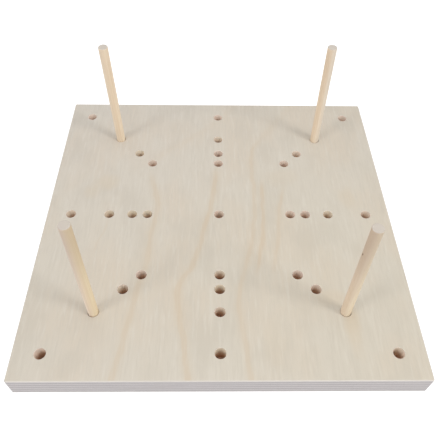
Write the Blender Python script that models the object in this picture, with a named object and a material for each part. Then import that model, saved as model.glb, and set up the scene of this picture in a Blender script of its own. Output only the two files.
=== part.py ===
"""A peg loom: a square plywood board drilled for pegs, and four loose wooden pegs.

Metres, +Z up, +Y towards the back; the origin is the middle of the board's underside.
The board is made of the veneers that plywood is glued up from, one object each, with
the glue lines left as narrow gaps.  The peg holes stand on concentric squares: one in
the middle of the board, then one at each corner and each side's middle of a square.
The four pegs start in the corner holes of one square, and lift straight out.
"""

import math

import bmesh
import bpy
from mathutils import Matrix

MM = 0.001

# Pegs
PEG_DIAMETER = 6 * MM
PEG_LENGTH = 90 * MM
PEG_CHAMFER = 0.4 * MM      # taken off the rim of each end
PEG_SIDES = 24

# Squares of holes, each measured over the outsides of pegs in its corners
SMALLEST_SQUARE = 100 * MM
SQUARE_STEPS = (20 * MM, 30 * MM, 50 * MM)      # how much each square adds to the last
PEGGED_SQUARE = 2           # the square that the pegs start in, counted from 0

# Holes
HOLE_CLEARANCE = 0.5 * MM   # how much wider than a peg
HOLE_FLOOR = 3 * MM         # wood left under a hole
SEAT_GAP = 0.3 * MM         # from a hole's floor to the peg that stands in it
HOLE_SIDES = 12

# How each loose peg leans to the right and to the back, as shares of its hole's play
PEG_LEANS = {"front_left": (0.13, 0.4), "front_right": (-0.42, 0),
             "back_left": (-0.26, -0.5), "back_right": (-0.27, 0)}

# Board
EDGE_MARGIN = 12.5 * MM     # from the largest square to the board's edge
BOARD_THICKNESS = 15 * MM
PLY_COUNT = 11              # odd, so that the grain of both faces runs the same way
GLUE_LINE = 0.1 * MM        # the gap between one veneer and the next
CORNER_RADIUS = 1 * MM      # rounding of the board's upright corners
ARRIS = 0.6 * MM            # flat taken off the edges of the top face and underside

SQUARES = [SMALLEST_SQUARE + sum(SQUARE_STEPS[:count])
           for count in range(len(SQUARE_STEPS) + 1)]
BOARD_SIDE = SQUARES[-1] + 2 * EDGE_MARGIN
HOLE_DIAMETER = PEG_DIAMETER + HOLE_CLEARANCE
HOLE_DEPTH = BOARD_THICKNESS - HOLE_FLOOR
VENEER = (BOARD_THICKNESS - (PLY_COUNT - 1) * GLUE_LINE) / PLY_COUNT


def clear_scene():
    """Remove every object of the scene that the script starts in."""
    for thing in list(bpy.data.objects):
        bpy.data.objects.remove(thing, do_unlink=True)


def new_collection(name):
    """Make a collection and hang it from the scene."""
    collection = bpy.data.collections.new(name)
    bpy.context.scene.collection.children.link(collection)
    return collection


def wood(name, colour, roughness):
    """A plain wood colour as a Principled material."""
    material = bpy.data.materials.new(name)
    material.use_nodes = True
    shader = material.node_tree.nodes["Principled BSDF"]
    shader.inputs["Base Color"].default_value = (*colour, 1)
    shader.inputs["Roughness"].default_value = roughness
    shader.inputs["Metallic"].default_value = 0
    return material


def new_object(name, form, collection, material=None):
    """Turn a bmesh into an object of the collection."""
    mesh = bpy.data.meshes.new(name)
    form.to_mesh(mesh)
    form.free()
    if material:
        mesh.materials.append(material)
    made = bpy.data.objects.new(name, mesh)
    collection.objects.link(made)
    return made


def axis_distance(square):
    """From the board's middle to the axes of the pegs along a square's side."""
    return (square - PEG_DIAMETER) / 2


def hole_places():
    """X and Y of each hole: the middle one, then eight on every square."""
    places = [(0, 0)]
    for square in SQUARES:
        reach = axis_distance(square)
        places += [(column * reach, row * reach)
                   for column in (-1, 0, 1) for row in (-1, 0, 1) if column or row]
    return places


def make_drill(collection):
    """The cutter of all the holes, from their floor upwards, its flats on the round hole."""
    length = 2 * HOLE_DEPTH
    corner_radius = HOLE_DIAMETER / 2 / math.cos(math.pi / HOLE_SIDES)
    form = bmesh.new()
    for x, y in hole_places():
        place = Matrix.Translation((x, y, HOLE_FLOOR + length / 2))
        bmesh.ops.create_cone(form, cap_ends=True, segments=HOLE_SIDES, depth=length,
                              radius1=corner_radius, radius2=corner_radius, matrix=place)
    drill = new_object("drill", form, collection)
    drill.hide_render = True
    drill.display_type = "WIRE"
    return drill


def make_veneer(name, number, collection, material, drill):
    """One veneer of the board, numbered from 0 at the underside, drilled if holes reach it."""
    bottom = number * (VENEER + GLUE_LINE)
    top = bottom + VENEER
    size = Matrix.Diagonal((BOARD_SIDE, BOARD_SIDE, VENEER, 1))
    form = bmesh.new()
    bmesh.ops.create_cube(form, size=1, matrix=size)
    upright = [edge for edge in form.edges
               if abs(edge.verts[0].co.z - edge.verts[1].co.z) > VENEER / 2]
    bmesh.ops.bevel(form, geom=upright, offset=CORNER_RADIUS, segments=3,
                    profile=0.5, affect="EDGES")
    if number in (0, PLY_COUNT - 1):
        outside = VENEER / 2 if number else -VENEER / 2
        rim = [edge for edge in form.edges
               if all(abs(corner.co.z - outside) < VENEER / 4 for corner in edge.verts)]
        bmesh.ops.bevel(form, geom=rim, offset=ARRIS, segments=1, affect="EDGES")
    veneer = new_object(name, form, collection, material)
    veneer.location = (0, 0, bottom + VENEER / 2)
    if top > HOLE_FLOOR:
        holes = veneer.modifiers.new("holes", "BOOLEAN")
        holes.operation = "DIFFERENCE"
        holes.solver = "EXACT"
        holes.object = drill
    return veneer


def make_board(parts, drill):
    """The whole stack, its grain turned a quarter from each veneer to the next."""
    face = wood("birch_face", (0.68, 0.60, 0.50), 0.55)
    long_ply = wood("birch_long_ply", (0.58, 0.55, 0.50), 0.65)
    cross_ply = wood("birch_cross_ply", (0.47, 0.45, 0.43), 0.65)
    for number in range(PLY_COUNT):
        if number == 0:
            make_veneer("bottom_face_veneer", number, parts, face, drill)
        elif number == PLY_COUNT - 1:
            make_veneer("top_face_veneer", number, parts, face, drill)
        elif number % 2:
            make_veneer(f"cross_veneer_{number:02d}", number, parts, cross_ply, drill)
        else:
            make_veneer(f"long_veneer_{number:02d}", number, parts, long_ply, drill)


def make_peg(place, x, y, collection, material):
    """A straight dowel, with its origin on its hole's axis, half way down the hole."""
    foot = SEAT_GAP - HOLE_DEPTH / 2
    form = bmesh.new()
    bmesh.ops.create_cone(form, cap_ends=True, segments=PEG_SIDES, depth=PEG_LENGTH,
                          radius1=PEG_DIAMETER / 2, radius2=PEG_DIAMETER / 2,
                          matrix=Matrix.Translation((0, 0, foot + PEG_LENGTH / 2)))
    rims = [edge for edge in form.edges
            if abs(edge.verts[0].co.z - edge.verts[1].co.z) < PEG_LENGTH / 2]
    bmesh.ops.bevel(form, geom=rims, offset=PEG_CHAMFER, segments=1, affect="EDGES")
    peg = new_object(f"peg_{place}", form, collection, material)
    peg.data.shade_smooth()
    peg.data.set_sharp_from_angle(angle=math.radians(30))
    play = math.atan(HOLE_CLEARANCE / HOLE_DEPTH)
    to_right, to_back = PEG_LEANS[place]
    peg.location = (x, y, HOLE_FLOOR + HOLE_DEPTH / 2)
    peg.rotation_euler = (-to_back * play, to_right * play, 0)
    return peg


def make_pegs(parts):
    """Four pegs, one in each corner hole of the pegged square."""
    dowel = wood("dowel_wood", (0.66, 0.52, 0.37), 0.6)
    reach = axis_distance(SQUARES[PEGGED_SQUARE])
    for row, y in (("front", -reach), ("back", reach)):
        for column, x in (("left", -reach), ("right", reach)):
            make_peg(f"{row}_{column}", x, y, parts, dowel)


clear_scene()
parts_collection = new_collection("peg_loom")
cutters_collection = new_collection("cutters")
make_board(parts_collection, make_drill(cutters_collection))
make_pegs(parts_collection)
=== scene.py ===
"""A peg loom: a drilled square of birch plywood, with four dowel pegs standing loose in it."""

import math

import bmesh
import bpy
from mathutils import Matrix, Vector


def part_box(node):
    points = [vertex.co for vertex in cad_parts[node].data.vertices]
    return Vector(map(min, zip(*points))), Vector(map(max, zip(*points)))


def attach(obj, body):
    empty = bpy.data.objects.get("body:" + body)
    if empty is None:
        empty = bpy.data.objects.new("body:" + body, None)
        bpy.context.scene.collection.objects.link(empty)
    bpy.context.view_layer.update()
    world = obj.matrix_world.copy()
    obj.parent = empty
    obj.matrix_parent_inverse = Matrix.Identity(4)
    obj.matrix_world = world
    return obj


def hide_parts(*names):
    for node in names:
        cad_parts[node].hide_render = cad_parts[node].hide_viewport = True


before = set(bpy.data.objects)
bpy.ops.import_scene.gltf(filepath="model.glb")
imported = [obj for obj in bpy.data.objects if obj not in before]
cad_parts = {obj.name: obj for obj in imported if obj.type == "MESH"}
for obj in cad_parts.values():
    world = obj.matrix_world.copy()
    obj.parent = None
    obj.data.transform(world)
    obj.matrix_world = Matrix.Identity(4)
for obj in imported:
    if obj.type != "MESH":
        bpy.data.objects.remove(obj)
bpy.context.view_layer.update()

# ---- The drill ---------------------------------------------------------------------------
# Every hole is made from above with one 6.5 mm lip-and-spur bit, whose stop collar ends it
# 3 mm over the underside.  The spur pricks the floor, and sandpaper rounds each rim a little.

BIT_RADIUS = 0.00325
BIT_SIDES = 48
HOLE_FLOOR = 0.003
RIM_START = 0.00016             # how far under the surface the rounding starts
RIM_STEPS = ((0.0001, 0.00001), (0.0003, 0.0003))   # its slopes, up and outwards
SPUR_RADIUS = 0.0009
SPUR_DEPTH = 0.0002
SPUR_SLOPE = 0.7                # how much of the spur's radius its sloping side takes up
NEAR = 1e-6                     # how far apart two levels may be and still be one level
HOLE_REACHES = (0.047, 0.057, 0.072, 0.097)     # the squares of holes, from the middle out

board_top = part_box("top_face_veneer")[1].z


def select_only(piece):
    """Leave one piece selected and active."""
    bpy.ops.object.select_all(action="DESELECT")
    piece.select_set(True)
    bpy.context.view_layer.objects.active = piece


def open_mesh(piece):
    """Go into edit mode on one piece."""
    select_only(piece)
    bpy.ops.object.mode_set(mode="EDIT")


def close_mesh():
    """Leave edit mode."""
    bpy.ops.object.mode_set(mode="OBJECT")


def pick(piece, kind, wanted):
    """In edit mode, select only the vertices, edges or faces that pass a test."""
    bpy.ops.mesh.select_mode(type=kind)
    bpy.ops.mesh.select_all(action="DESELECT")
    form = bmesh.from_edit_mesh(piece.data)
    form.normal_update()
    for part in {"VERT": form.verts, "EDGE": form.edges, "FACE": form.faces}[kind]:
        if wanted(part):
            part.select_set(True)
    bmesh.update_edit_mesh(piece.data)


def make_bit():
    """The cutting end of the bit as a solid, standing on the hole's floor at the middle."""
    height = board_top - RIM_START - HOLE_FLOOR
    bpy.ops.object.select_all(action="DESELECT")
    bpy.ops.mesh.primitive_cylinder_add(vertices=BIT_SIDES, radius=BIT_RADIUS, depth=height,
                                        location=(0, 0, HOLE_FLOOR + height / 2))
    bit = bpy.context.object
    bit.name = "drill"
    bpy.ops.object.transform_apply(location=True, rotation=True, scale=True)
    open_mesh(bit)
    pick(bit, "FACE", lambda face: face.normal.z > 0.9)
    radius = BIT_RADIUS
    level = HOLE_FLOOR + height
    for up, out in RIM_STEPS:
        bpy.ops.mesh.extrude_region_move(TRANSFORM_OT_translate={"value": (0, 0, up)})
        level += up
        wider = (radius + out) / radius
        radius += out
        bpy.ops.transform.resize(value=(wider, wider, 1), center_override=(0, 0, level))
    pick(bit, "FACE", lambda face: face.calc_center_median().z < HOLE_FLOOR + NEAR)
    bpy.ops.mesh.inset(thickness=BIT_RADIUS - SPUR_RADIUS)
    bpy.ops.mesh.inset(thickness=SPUR_RADIUS * SPUR_SLOPE)
    bpy.ops.transform.translate(value=(0, 0, -SPUR_DEPTH))
    close_mesh()
    return bit


def make_drill():
    """The bit at every place where the board is drilled, as one solid to cut with."""
    bit = make_bit()
    bits = [bit]
    for reach in HOLE_REACHES:
        for column in (-1, 0, 1):
            for row in (-1, 0, 1):
                if column or row:
                    select_only(bit)
                    move = {"value": (column * reach, row * reach, 0)}
                    bpy.ops.object.duplicate_move(TRANSFORM_OT_translate=move)
                    bits.append(bpy.context.object)
    for one in bits:
        one.select_set(True)
    bpy.context.view_layer.objects.active = bit
    bpy.ops.object.join()
    bpy.ops.object.transform_apply(location=True, rotation=True, scale=True)
    return bit


drill = make_drill()

# ---- The inner veneers -------------------------------------------------------------------
# Nine rotary-cut birch veneers lie between the faces, each with its grain across the last.
# They are pressed with a brown glue, then sawn to 225 mm, and show at the edges and in holes.

BOARD_HALF = 0.1125
CORNER_RADIUS = 0.001
GLUE_JOIN = 0.000005            # what is left open where two veneers meet
PLY_PITCH = 1.37273             # from one veneer's underside to the next one's, in mm
GLUE_START = 1.2727             # where the glue line starts within that, in mm
CORNER_STEPS = 5
SMOOTH_ANGLE = 30
ALONG_X = 0
ALONG_Y = 1
UPRIGHT = 2
FIBRE_LENGTH = 15               # how long, wide and thick a fibre is at the edge, in mm
FIBRE_WIDTH = 0.45
FIBRE_THICKNESS = 0.35
FIBRE_RELIEF = 0.00004
SAWN_ALONG = (0.480, 0.452, 0.455, 1)           # the sawn edge along its fibres
SAWN_ACROSS = (0.655, 0.620, 0.618, 1)          # and across them
DARK_FIBRE = (0.30, 0.26, 0.25, 1)
PALE_EDGE_PATCH = (0.58, 0.55, 0.54, 1)
BROWN_GLUE = (0.16, 0.11, 0.085, 1)
BURNISHED_YELLOW_AND_PAINTED_LIGHT = (0.85, 0.76, 0.57, 1)        # the holes, from one to the next, lightened as painted light
BURNISHED_PINK_AND_PAINTED_LIGHT = (0.86, 0.69, 0.59, 1)
TURNING_MARK = (0.91, 0.82, 0.71, 1)
HOLE_PAINTED_SHADE = (0.68, 0.44, 0.30, 1)          # painted shade low down in the holes
DEEP_END = 4.5                  # up to this height in mm the hole has painted shade, and from this one up it hasn't
DEEP_START = 13.5               # this one up it isn't
DRILLED_REACH = 109.0           # beyond this from the middle, in mm, nothing is drilled
ROUGHNESS_SPREAD = 0.16         # from a finish's smoothest patches to its roughest


class Shade:
    """A socket in a finish's nodes.  Sums on it add Math nodes, and node() adds any other."""

    def __init__(self, tree, socket=None):
        self.tree = tree
        self.socket = socket

    def node(self, kind, inputs=None, output=0, curve=None, **settings):
        """Add a node: its settings or curve points first, then its sockets."""
        made = self.tree.nodes.new("ShaderNode" + kind)
        for name, value in settings.items():
            setattr(made, name, value)
        if curve:
            points = made.mapping.curves[0].points
            points[0].location = curve[0]
            points[1].location = curve[-1]
            for where, value in curve[1:-1]:
                points.new(where, value)
            made.mapping.update()
        for key, value in (inputs or {}).items():
            if isinstance(value, Shade):
                self.tree.links.new(value.socket, made.inputs[key])
            else:
                made.inputs[key].default_value = value
        return Shade(self.tree, made.outputs[output])

    def maths(self, operation, *values):
        """Add a Math node that works on these values."""
        return self.node("Math", dict(enumerate(values)), operation=operation)

    def __add__(self, other):
        return self.maths("ADD", self, other)

    def __sub__(self, other):
        return self.maths("SUBTRACT", self, other)

    def __rsub__(self, other):
        return self.maths("SUBTRACT", other, self)

    def __mul__(self, other):
        return self.maths("MULTIPLY", self, other)

    def __truediv__(self, other):
        return self.maths("DIVIDE", self, other)

    def __mod__(self, other):
        return self.maths("MODULO", self, other)

    def __abs__(self):
        return self.maths("ABSOLUTE", self)

    __radd__ = __add__
    __rmul__ = __mul__

    def smooth(self, low, high):
        """0 below low and 1 above high, eased between."""
        return self.node("MapRange", {0: self, 1: low, 2: high}, interpolation_type="SMOOTHSTEP")

    def mix(self, one, other):
        """Two colours, mixed by this amount."""
        return self.node("Mix", {0: self, 6: one, 7: other}, output=2, data_type="RGBA")

    def tint(self, colour):
        """A colour multiplied by this one."""
        return self.node("Mix", {0: 1.0, 6: colour, 7: self}, output=2, data_type="RGBA",
                         blend_type="MULTIPLY")

    def noise(self, sizes, start=(0, 0, 0), detail=2.0, roughness=0.5):
        """Soft noise of the given sizes in mm along X, Y and Z, for a place as this shade."""
        scale = tuple(1000 / size for size in sizes)
        at = self.node("Mapping", {"Vector": self, "Location": start, "Scale": scale})
        inputs = {"Vector": at, "Scale": 1.0, "Detail": detail, "Roughness": roughness}
        return self.node("TexNoise", inputs)


class Finish:
    """A bare wood finish: its Principled shader, the place in it, and that place in mm."""

    def __init__(self, name, roughness, gloss):
        self.material = bpy.data.materials.new(name)
        self.material.use_nodes = True
        tree = self.material.node_tree
        self.shader = tree.nodes["Principled BSDF"]
        self.shader.inputs["Specular IOR Level"].default_value = gloss
        self.blank = Shade(tree)
        self.place = self.blank.node("TexCoord", output="Object")
        self.x, self.y, self.z = self.in_mm(self.place)
        self.wear(roughness)

    def part(self, vector, axis):
        """One of the three parts of a vector."""
        return self.blank.node("SeparateXYZ", {0: vector}, output=axis)

    def in_mm(self, place):
        """The three parts of a place, in mm."""
        return [self.part(place, axis) * 1000 for axis in range(3)]

    def facing(self, axis):
        """1 where the surface faces along an axis, either way, and 0 where it runs along it."""
        return abs(self.part(self.blank.node("NewGeometry", output="Normal"), axis))

    def link(self, value, name):
        """Feed one of the shader's sockets."""
        self.blank.tree.links.new(value.socket, self.shader.inputs[name])

    def wear(self, roughness):
        """Roughness that varies a little from patch to patch."""
        patchy = self.place.noise((14, 30, 14), detail=3.0)
        lowest = roughness - ROUGHNESS_SPREAD / 2
        self.link(patchy * ROUGHNESS_SPREAD + lowest, "Roughness")

    def relief(self, height, depth):
        """Bump of the given depth in metres where height goes from 0 to 1."""
        self.link(self.blank.node("Bump", {"Height": height, "Distance": depth,
                                           "Strength": 1.0}), "Normal")


def edge_colour(finish, fibre):
    """The sawn edge of a veneer: pale across the fibres, greyer along them."""
    level = (FIBRE_LENGTH, FIBRE_WIDTH) if fibre == ALONG_X else (FIBRE_WIDTH, FIBRE_LENGTH)
    fibres = finish.place.noise((*level, FIBRE_THICKNESS), detail=3.0, roughness=0.65)
    patches = finish.place.noise((11, 11, 1.4), start=(5, 2, 9), detail=2.0)
    wood = finish.facing(fibre).mix(SAWN_ALONG, SAWN_ACROSS)
    wood = (fibres.smooth(0.35, 0.75) * 0.25).mix(wood, DARK_FIBRE)
    wood = (patches.smooth(0.45, 0.70) * 0.30).mix(wood, PALE_EDGE_PATCH)
    return wood, fibres


def glue_line(finish, wood):
    """The brown glue at the top of each veneer, squeezed a little thicker here and there."""
    height = finish.z % PLY_PITCH
    spread = finish.place.noise((3, 3, 3), start=(1, 8, 3)) * 0.09
    glue = (height + spread).smooth(GLUE_START + 0.02, GLUE_START + 0.06)
    return (glue * 0.75).mix(wood, BROWN_GLUE)


def drilled(finish, wood):
    """The holes: tan walls burnished by the bit and lightened as painted light, painted shade
    low down, and the bit's fine turning marks.
    """
    widest = finish.blank.maths("MAXIMUM", abs(finish.x), abs(finish.y))
    inside = 1 - widest.smooth(DRILLED_REACH, DRILLED_REACH + 1)
    marks = finish.place.noise((5, 5, 0.12), start=(2, 6, 1), detail=2.0)
    hue = finish.place.noise((26, 26, 60), start=(4, 1, 4), detail=1.0)
    # Burnished tan, made lighter as painted light on the walls.
    tan = hue.smooth(0.42, 0.58).mix(BURNISHED_YELLOW_AND_PAINTED_LIGHT, BURNISHED_PINK_AND_PAINTED_LIGHT)
    tan = marks.smooth(0.3, 0.7).mix(tan, TURNING_MARK)
    # Painted shade: the hole walls go deep brown towards the bottom.
    tan = (1 - finish.z.smooth(DEEP_END, DEEP_START)).mix(tan, HOLE_PAINTED_SHADE)
    return (inside * 0.9).mix(wood, tan)


def inner_finish(name, fibre):
    """The finish of the veneers whose grain runs along X, or of those along Y."""
    finish = Finish(name, roughness=0.66, gloss=0.25)
    wood, fibres = edge_colour(finish, fibre)
    wood = drilled(finish, glue_line(finish, wood))
    finish.link(wood, "Base Color")
    finish.relief(fibres, FIBRE_RELIEF)
    return finish.material


def make_sheet(name, low, high):
    """A veneer's blank at its place: a square with its upright corners rounded."""
    bpy.ops.object.select_all(action="DESELECT")
    bpy.ops.mesh.primitive_cube_add(size=1, location=(0, 0, (low + high) / 2))
    sheet = bpy.context.object
    sheet.name = name
    sheet.scale = (2 * BOARD_HALF, 2 * BOARD_HALF, high - low)
    bpy.ops.object.transform_apply(location=True, rotation=True, scale=True)
    open_mesh(sheet)
    pick(sheet, "EDGE", lambda edge: edge.verts[0].co.xy == edge.verts[1].co.xy)
    bpy.ops.mesh.bevel(offset=CORNER_RADIUS, segments=CORNER_STEPS, affect="EDGES")
    close_mesh()
    return sheet


def drill_holes(sheet):
    """Cut the holes through a veneer, as far down as the bit goes."""
    select_only(sheet)
    bpy.ops.object.modifier_add(type="BOOLEAN")
    cut = sheet.modifiers[-1]
    cut.operation = "DIFFERENCE"
    cut.solver = "EXACT"
    cut.object = drill
    bpy.ops.object.modifier_apply(modifier=cut.name)


def lay_up(sheet, node, finish):
    """Smooth and finish a veneer, and fix it in the board in its CAD node's place."""
    select_only(sheet)
    bpy.ops.object.shade_smooth_by_angle(angle=math.radians(SMOOTH_ANGLE))
    sheet.data.materials.clear()
    sheet.data.materials.append(finish)
    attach(sheet, "board")
    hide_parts(node)


ply_finishes = {"long": inner_finish("birch_ply_long_grain", ALONG_Y),
                "cross": inner_finish("birch_ply_cross_grain", ALONG_X)}
for number in range(1, 10):
    kind = "cross" if number % 2 else "long"
    node = f"{kind}_veneer_{number:02d}"
    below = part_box(node)[0].z
    above = below + PLY_PITCH / 1000
    ply = make_sheet(f"{kind}_ply_{number:02d}", below, above - GLUE_JOIN)
    if above > HOLE_FLOOR:
        drill_holes(ply)
    lay_up(ply, node, ply_finishes[kind])

# ---- The underside veneer ----------------------------------------------------------------
# The bottom face is a plain sheet of the same rotary-cut birch, its grain from front to back.
# Nothing is drilled through it.  Its edges are rubbed down with sandpaper.

ARRIS = 0.0006
ARRIS_STEPS = 3
# The rounded arris: pale sanded wood, made paler still as a painted highlight.
ARRIS_PALE_AND_HIGHLIGHT = (0.645, 0.60, 0.545, 1)
SANDED_RELIEF = 0.00003
UNDERSIDE_PALE = (0.565, 0.505, 0.425, 1)
UNDERSIDE_PEACH = (0.555, 0.48, 0.385, 1)
UNDERSIDE_GREY = (0.50, 0.45, 0.375, 1)
UNDERSIDE_LIGHT = (0.61, 0.56, 0.48, 1)
UNDERSIDE_RING = (0.50, 0.40, 0.29, 1)
RINGS_PER_MM = 0.045            # how many ring lines cross each mm of the underside
RING_WANDER = 6.0               # how far they wander, in rings


def ease_rim(sheet, level):
    """Round the sharp edge round a face veneer at one level."""
    open_mesh(sheet)
    pick(sheet, "EDGE", lambda edge: all(abs(v.co.z - level) < NEAR for v in edge.verts)
         and all(max(abs(v.co.x), abs(v.co.y)) > BOARD_HALF - 2 * CORNER_RADIUS
                 for v in edge.verts))
    bpy.ops.mesh.bevel(offset=ARRIS, segments=ARRIS_STEPS, affect="EDGES")
    close_mesh()


def face_ground(finish, pale, peach, grey, light):
    """Sanded face veneer without its ring lines: soft patches, then fine fibre streaks."""
    patches = finish.place.noise((34, 60, 30), start=(3, 1, 2), detail=3.0, roughness=0.55)
    cloudy = finish.place.noise((17, 34, 20), start=(8, 4, 6), detail=2.0)
    wood = patches.smooth(0.38, 0.66).mix(pale, peach)
    wood = (cloudy.smooth(0.48, 0.72) * 0.6).mix(wood, grey)
    streaks = finish.place.noise((1.1, 13, 2), start=(1, 2, 7), detail=3.0, roughness=0.65)
    lights = finish.place.noise((1.5, 16, 2), start=(6, 5, 1), detail=2.0, roughness=0.6)
    wood = (streaks.smooth(0.42, 0.72) * 0.55).mix(wood, grey)
    wood = (lights.smooth(0.50, 0.76) * 0.5).mix(wood, light)
    return wood, streaks


def face_or_edge(finish, face, side):
    """The face where it is level, the sawn edge where it is upright, and between them a pale
    arris, partly a painted highlight.
    """
    level = finish.facing(UPRIGHT)
    # The slanting arris is pale: sanded wood, plus a painted highlight.
    wood = level.smooth(0.15, 0.35).mix(side, ARRIS_PALE_AND_HIGHLIGHT)
    return level.smooth(0.93, 0.985).mix(wood, face)


def sanded_grain(finish, streaks):
    """The faint relief of open pores that sanding leaves, along the grain."""
    pores = finish.place.noise((0.16, 2.4, 0.3), start=(4, 4, 4), detail=2.0, roughness=0.7)
    return streaks * 0.5 + pores * 0.5


def underside_finish():
    """The bottom face, with loose ring lines that wander along the grain."""
    finish = Finish("birch_underside", roughness=0.58, gloss=0.3)
    face, streaks = face_ground(finish, UNDERSIDE_PALE, UNDERSIDE_PEACH, UNDERSIDE_GREY,
                                UNDERSIDE_LIGHT)
    wander = finish.place.noise((60, 110, 40), start=(2, 9, 4), detail=2.0)
    rings = abs(((finish.x * RINGS_PER_MM + wander * RING_WANDER) % 1.0) - 0.5)
    face = ((1 - rings.smooth(0.0, 0.09)) * 0.45).mix(face, UNDERSIDE_RING)
    side = glue_line(finish, edge_colour(finish, ALONG_Y)[0])
    finish.link(face_or_edge(finish, face, side), "Base Color")
    finish.relief(sanded_grain(finish, streaks), SANDED_RELIEF)
    return finish.material


underside = make_sheet("underside_ply", 0.0, PLY_PITCH / 1000 - GLUE_JOIN)
ease_rim(underside, 0.0)
lay_up(underside, "bottom_face_veneer", underside_finish())

# ---- The top veneer ----------------------------------------------------------------------
# The work face is the sheet's better veneer, sanded smooth and left bare.  It was peeled round
# the log, so five growth rings wander over it from front to back.  Two wide faint bands cross
# the back of it on the slant, and one thin squiggle lies at the left.

# Each ring line: where it runs, as (Y, X) in mm, its half width in mm, and its strength.
RING_LINES = (
    (((-112, -57), (-104, -55.5), (-88, -53), (-72, -50.5), (-56, -48), (-40, -44.7),
      (-24, -43.4), (-8, -42), (8, -40.8), (16, -42.2), (32, -46), (112, -60)), 2.3, 0.9),
    (((-112, -17.5), (-91, -20), (-75, -22.8), (-64, -25), (-56, -24.6), (-50, -22.5),
      (-43, -18), (-35, -15), (-27, -12.6), (-11, -9.6), (0, -6.5), (13, -4.2),
      (29, -2.7), (112, 2)), 2.3, 1.15),
    (((-112, 16), (-104, 15.1), (-88, 13.5), (-72, 11.2), (-56, 12.4), (-40, 16.2),
      (-24, 20.3), (-8, 22.6), (16, 24.6), (40, 23.8), (56, 24.1), (64, 26), (72, 31),
      (112, 52)), 1.8, 0.9),
    (((-112, 18), (-36, 24.2), (-28, 25.8), (-20, 27.8), (4, 29.3), (20, 29.9),
      (112, 33)), 1.6, 1.3),
    (((-112, 26), (-60, 31), (-34, 34.9), (-18, 37.7), (6, 40.8), (14, 42.4),
      (112, 52)), 1.6, 0.85),
    (((-112, -80), (36, -50), (46, -47), (56, -41), (66, -29), (76, -17), (86, -7),
      (96, 3), (112, 12)), 4.5, 0.25),
    (((-112, 0), (56, 24), (66, 28), (76, 35), (90, 44), (112, 58)), 4.5, 0.35),
    (((-112, -84), (-34, -77.5), (-22, -76.5), (-14, -73.5), (-4, -72), (112, -66)), 0.8, 0.5),
)
# Where each ring line fades out: its lowest Y and its highest, in mm.
RING_ENDS = ((-140, 36), (-140, 42), (-140, 70), (-50, 30), (-50, 26), (38, 140), (62, 140),
             (-36, -2))
BOARD_MM = 2000 * BOARD_HALF
RING_WOBBLE = 3.2               # how far a line's edge strays in all, in mm
FADE_IN = 14                    # over how many mm a line fades in, and
FADE_BEFORE = 12                # out again before its end
FADE_PAST = 6                   # and past it
CORE_SHARE = 0.7                # how much of a line's tint is its core and its soft edge
HALO_SHARE = 0.3
HALO_SPREAD = 5                 # how much wider the soft edge is, squared
# Browner patches: X, Y, half width and half length in mm, and strength.
PATCHES = ((-78, 28, 12, 11, 0.45), (87, 16, 8, 14, 0.4), (75, -82, 7, 24, 0.7),
           (65, -62, 14, 8, 0.5), (-86, 20, 7, 9, 0.35), (30, -88, 9, 22, 0.25),
           (42, 34, 20, 12, 0.25))
FACE_PALE = (0.560, 0.512, 0.428, 1)
FACE_PEACH = (0.565, 0.500, 0.405, 1)
FACE_GREY = (0.510, 0.462, 0.382, 1)
FACE_LIGHT = (0.605, 0.562, 0.482, 1)
FACE_RING = (0.548, 0.450, 0.334, 1)
FACE_BROWNER = (0.56, 0.475, 0.36, 1)
NO_TINT = (1, 1, 1, 1)
COOL_TINT = (1.02, 1.025, 1.07, 1)              # the veneer's left and back are a bit cooler


def share(mm):
    """A place across or along the board in mm, from 0 at one edge to 1 at the other."""
    return mm / BOARD_MM + 0.5


def ring_line(finish, wobble, route, width, ends):
    """How much one ring line tints a place on the face."""
    curve = [(share(y), share(x)) for y, x in route]
    line = finish.blank.node("FloatCurve", {"Value": share(finish.y)}, curve=curve)
    away = (share(finish.x) - line) * BOARD_MM + wobble
    core = 1 - (away * away).smooth(0.0, width * width)
    halo = 1 - (away * away).smooth(0.0, HALO_SPREAD * width * width)
    low, high = ends
    gone = finish.y.smooth(high - FADE_BEFORE, high + FADE_PAST)
    shown = finish.y.smooth(low, low + FADE_IN) * (1 - gone)
    return (core * CORE_SHARE + halo * HALO_SHARE) * shown


def patch(finish, ragged, x, y, wide, long):
    """How much one soft-edged patch tints a place on the face."""
    across, along = (finish.x - x) / wide, (finish.y - y) / long
    return 1 - (across * across + along * along + ragged).smooth(0.0, 1.0)


def top_finish():
    """The sanded work face, its edges like the long veneers', and its drilled rims."""
    finish = Finish("birch_work_face", roughness=0.56, gloss=0.3)
    face, streaks = face_ground(finish, FACE_PALE, FACE_PEACH, FACE_GREY, FACE_LIGHT)
    cool = (1 - finish.x.smooth(-90, 90)) * 0.5 + finish.y.smooth(-60, 90) * 0.5
    face = cool.mix(NO_TINT, COOL_TINT).tint(face)
    wobble = (finish.place.noise((8, 12, 9), start=(7, 3, 5), detail=3.0) - 0.5) * RING_WOBBLE
    rings = sum(ring_line(finish, wobble, route, width, ends) * strength
                for (route, width, strength), ends in zip(RING_LINES, RING_ENDS))
    ragged = finish.place.noise((9, 16, 9), start=(3, 3, 1), detail=3.0) - 0.35
    browner = sum(patch(finish, ragged, x, y, wide, long) * strength
                  for x, y, wide, long, strength in PATCHES)
    face = browner.mix(face, FACE_BROWNER)
    broken = finish.place.noise((1.2, 18, 3), start=(5, 5, 5), detail=2.0).smooth(0.25, 0.6)
    rings = rings * (0.55 + broken * 0.45)
    face = (rings * 0.6).mix(face, FACE_RING)
    side = drilled(finish, edge_colour(finish, ALONG_Y)[0])
    finish.link(face_or_edge(finish, face, side), "Base Color")
    finish.relief(sanded_grain(finish, streaks), SANDED_RELIEF)
    return finish.material


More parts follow.
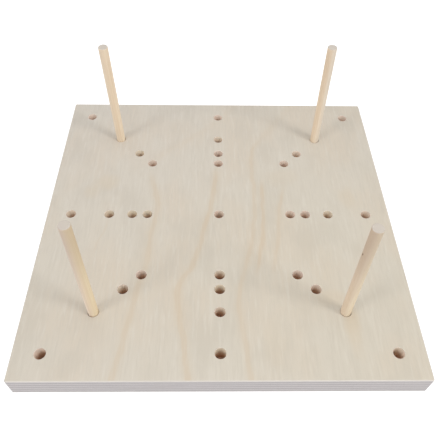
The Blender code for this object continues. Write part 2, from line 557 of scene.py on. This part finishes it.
top_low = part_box("top_face_veneer")[0].z
work_face = make_sheet("work_face_ply", top_low, board_top)
ease_rim(work_face, board_top)
drill_holes(work_face)
lay_up(work_face, "top_face_veneer", top_finish())
select_only(drill)
bpy.ops.object.delete()

# ---- The pegs ----------------------------------------------------------------------------
# Four 90 mm lengths of 6 mm birch dowel, sawn off and rubbed round at both ends.  Each stands
# loose in its hole, so each leans its own small way.

PEG_RADIUS = 0.003
PEG_LENGTH = 0.09
PEG_ROUNDING = 0.0004
ROUNDING_STEPS = 4
PEG_SIDES = 48
PEG_SMOOTH_ANGLE = 40
PEG_RELIEF = 0.00003
RING_SPACING = 1.3              # from one growth ring to the next, in mm
RING_WAVER = 1.2                # how far the rings waver along the peg, in rings
TOP_SHADE_FROM = 20               # how far up the peg, in mm, painted shade starts to darken it, and where it is full
TOP_SHADE_TO = 85                 # where it shows in full
TINT_REACH = 2.6                # how far out, in mm, the tint of a peg's side is full
PIN_STRETCH = 0.6               # the pin mark is longer along the peg
PIN_CORE = 0.05                 # its dark core and its rim, as a distance in mm, squared
PIN_RIM = 0.35
FOOT_END = (0.05, 0.3)          # between these, in mm up the peg, its sawn foot ends, and
TOP_END = (89.7, 89.95)         # its sawn top starts
DOWEL_DARK = (0.79, 0.65, 0.495, 1)             # the dowel's softer and harder wood
DOWEL_PALE = (0.84, 0.715, 0.56, 1)
DOWEL_RING = (0.66, 0.50, 0.33, 1)
DOWEL_FIBRE = (0.62, 0.48, 0.33, 1)
# The darker tone painted over each peg's upper part as shade.
PEG_TOP_PAINTED_SHADE = (0.49, 0.38, 0.28, 1)
PIN_MARK = (0.16, 0.10, 0.065, 1)
SAWN_END = (0.50, 0.455, 0.405, 1)


def peg_axis(node):
    """The middle of a peg's foot and the way the peg leans, from its CAD node's mesh."""
    corners = [vertex.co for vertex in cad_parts[node].data.vertices]
    middle = sum(corner.z for corner in corners) / len(corners)
    ends = []
    for above in (False, True):
        end = [corner for corner in corners if (corner.z > middle) == above]
        ends.append(sum(end, Vector()) / len(end))
    run = (ends[1] - ends[0]).normalized()
    centre = (ends[0] + ends[1]) / 2
    return centre - run * PEG_LENGTH / 2, run


def make_dowel(name, foot, run):
    """A dowel with rounded ends, stood on its foot along its own line."""
    bpy.ops.object.select_all(action="DESELECT")
    bpy.ops.mesh.primitive_cylinder_add(vertices=PEG_SIDES, radius=PEG_RADIUS,
                                        depth=PEG_LENGTH, location=(0, 0, PEG_LENGTH / 2))
    dowel = bpy.context.object
    dowel.name = name
    bpy.ops.object.transform_apply(location=True, rotation=True, scale=True)
    open_mesh(dowel)
    pick(dowel, "EDGE", lambda edge: edge.verts[0].co.z == edge.verts[1].co.z)
    bpy.ops.mesh.bevel(offset=PEG_ROUNDING, segments=ROUNDING_STEPS, affect="EDGES")
    pick(dowel, "FACE", lambda face: abs(face.normal.z) > 0.99)
    bpy.ops.mesh.inset(thickness=PEG_ROUNDING)
    close_mesh()
    select_only(dowel)
    bpy.ops.object.shade_smooth_by_angle(angle=math.radians(PEG_SMOOTH_ANGLE))
    lean = run.to_track_quat("Z", "Y").to_matrix().to_4x4()
    dowel.matrix_world = Matrix.Translation(foot) @ lean
    bpy.ops.object.transform_apply(location=True, rotation=True, scale=True)
    return dowel


def dowel_finish(name, foot, run, start, pith, top_shade, left, right, pin):
    """Bare birch dowel: its rings show as arcs on the ends and long lines down the sides.

    PEG_WOODS says what differs from dowel to dowel.
    """
    finish = Finish(name, roughness=0.55, gloss=0.3)
    turn = run.to_track_quat("Z", "Y").to_euler()
    place = finish.blank.node("Mapping", {"Vector": finish.place, "Location": tuple(foot),
                                          "Rotation": tuple(turn)}, vector_type="TEXTURE")
    x, y, z = finish.in_mm(place)
    fibres = place.noise((0.35, 0.35, 22), start=start, detail=3.0, roughness=0.6)
    bands = place.noise((2.2, 2.2, 60), start=start, detail=1.0)
    across, deep = x - pith[0], y - pith[1]
    distance = finish.blank.maths("SQRT", across * across + deep * deep)
    rings = abs(((distance / RING_SPACING + bands * RING_WAVER) % 1.0) - 0.5)
    wood = bands.smooth(0.35, 0.68).mix(DOWEL_DARK, DOWEL_PALE)
    wood = ((1 - rings.smooth(0.0, 0.16)) * 0.25).mix(wood, DOWEL_RING)
    wood = (fibres.smooth(0.45, 0.8) * 0.35).mix(wood, DOWEL_FIBRE)
    # Painted shade: each peg is darker towards its top, by as much as its PEG_WOODS entry says.
    wood = (z.smooth(TOP_SHADE_FROM, TOP_SHADE_TO) * top_shade).mix(wood, PEG_TOP_PAINTED_SHADE)
    side = finish.x - (z * run.x + foot.x * 1000)
    front = finish.y - (z * run.y + foot.y * 1000)
    wood = side.smooth(-TINT_REACH, TINT_REACH).mix(left, right).tint(wood)
    off = (side - pin[0], front - pin[1], (z - pin[2]) * PIN_STRETCH)
    fleck = off[0] * off[0] + off[1] * off[1] + off[2] * off[2]
    wood = (1 - fleck.smooth(PIN_CORE, PIN_RIM)).mix(wood, PIN_MARK)
    ends = 1 - (z.smooth(*FOOT_END) * (1 - z.smooth(*TOP_END)))
    wood = (ends * 0.9).mix(wood, SAWN_END)
    finish.link(wood, "Base Color")
    finish.relief(fibres, PEG_RELIEF)
    return finish.material


# Each dowel's noise start, its rings' pith in mm, how much painted shade darkens its top end,
# how its wood is tinted at its left and at its right, and where its one dark pin mark sits, in
# mm.
PEG_WOODS = {
    "front_left": ((1, 4, 2), (6, 5), 0.75, (1.0, 1.0, 1.07, 1), (1.0, 1.0, 0.90, 1),
                   (1.5, 2.6, 40)),
    "front_right": ((7, 2, 5), (-5, 7), 0.8, (0.96, 0.95, 0.96, 1), (1.02, 1.04, 1.0, 1),
                    (-2.95, -0.5, 70)),
    "back_left": ((3, 9, 1), (7, -4), 0.25, (1.0, 1.0, 1.0, 1), (0.98, 0.97, 0.94, 1),
                  (-1, 2.8, 55)),
    "back_right": ((5, 6, 8), (-6, -6), 0.35, (1.0, 0.98, 0.96, 1), (0.94, 1.0, 1.08, 1),
                   (2.2, 2.0, 30)),
}
for place, wood in PEG_WOODS.items():
    foot, run = peg_axis(f"peg_{place}")
    dowel = make_dowel(f"dowel_{place}", foot, run)
    dowel.data.materials.clear()
    dowel.data.materials.append(dowel_finish(f"dowel_wood_{place}", foot, run, *wood))
    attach(dowel, f"peg_{place}")
    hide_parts(f"peg_{place}")

# ---- The studio --------------------------------------------------------------------------
# The loom lies on a white sweep, lit by the white room and by three soft boxes: one at the
# front left, a stronger one at the right, and a weak one above.

FLOOR_SIDE = 6.0
FLOOR_DROP = 0.0002             # how far the sweep lies under the board
PAPER_GREY = (0.5, 0.5, 0.5, 1)
PAPER_GLOW = 0.68               # what keeps the paper white in its own right
ROOM_GROUND = (0.72, 0.72, 0.73, 1)
ROOM_WALLS = (1.0, 1.0, 1.0, 1)
ROOM_CEILING = (0.56, 0.56, 0.56, 1)
GROUND_EDGE = (-0.35, -0.03)    # where the ground goes over to the walls, and the walls to
CEILING_EDGE = (0.1, 0.9)       # the ceiling, from -1 straight down to 1 straight up

bpy.ops.object.select_all(action="DESELECT")
bpy.ops.mesh.primitive_plane_add(size=FLOOR_SIDE, location=(0, 0, -FLOOR_DROP))
floor = bpy.context.object
floor.name = "white_sweep"
sweep = bpy.data.materials.new("white_paper")
sweep.use_nodes = True
paper = sweep.node_tree.nodes["Principled BSDF"]
paper.inputs["Base Color"].default_value = PAPER_GREY
paper.inputs["Roughness"].default_value = 0.9
paper.inputs["Specular IOR Level"].default_value = 0.1
paper.inputs["Emission Color"].default_value = (1, 1, 1, 1)
paper.inputs["Emission Strength"].default_value = PAPER_GLOW
floor.data.materials.append(sweep)
floor.visible_diffuse = False

room = bpy.data.worlds.new("white_room")
room.use_nodes = True
blank = Shade(room.node_tree)
skyward = blank.node("TexCoord", output="Generated")
height = blank.node("SeparateXYZ", {0: skyward}, output="Z")
walls = height.smooth(*GROUND_EDGE).mix(ROOM_GROUND, ROOM_WALLS)
walls = height.smooth(*CEILING_EDGE).mix(walls, ROOM_CEILING)
room.node_tree.links.new(walls.socket, room.node_tree.nodes["Background"].inputs["Color"])
bpy.context.scene.world = room


def soft_box(name, place, size, power, aim=(0, 0, 0)):
    """A square soft box that stands at a place and faces the loom, or faces its aim."""
    spot = Vector(place)
    bpy.ops.object.light_add(type="AREA", location=spot)
    lamp = bpy.context.object
    lamp.name = name
    lamp.data.shape = "SQUARE"
    lamp.data.size = size
    lamp.data.energy = power
    lamp.rotation_euler = (spot - Vector(aim)).to_track_quat("Z", "Y").to_euler()
    lamp.visible_camera = False


soft_box("soft_box_right", place=(0.66, -0.40, 0.80), size=0.28, power=3.2)
soft_box("soft_box_left", place=(-0.68, -0.52, 0.75), size=0.28, power=2.3)
soft_box("soft_box_above", place=(0.03, -0.02, 0.60), size=0.35, power=0.8,
         aim=(0.03, -0.02, 0))

# ---- The camera --------------------------------------------------------------------------
# It looks down at the front edge from close by, turned a little to the right and tilted a
# hair, which makes the pegs splay.

CAMERA_PLACE = (-0.0058, -0.21275, 0.27486)
SENSOR = 36                     # this and the lens in mm, and the three turns in degrees
LENS = 41.92
PITCH = 38.78
YAW = -1.59
ROLL = 1.38

bpy.ops.object.camera_add(location=CAMERA_PLACE)
camera = bpy.context.object
camera.data.sensor_width = SENSOR
camera.data.lens = LENS
camera.data.clip_start = 0.01
camera.matrix_world = (Matrix.Translation(CAMERA_PLACE)
                       @ Matrix.Rotation(math.radians(YAW), 4, "Z")
                       @ Matrix.Rotation(math.radians(PITCH), 4, "X")
                       @ Matrix.Rotation(math.radians(ROLL), 4, "Z"))
bpy.context.scene.camera = camera
bpy.context.scene.view_settings.view_transform = "Standard"
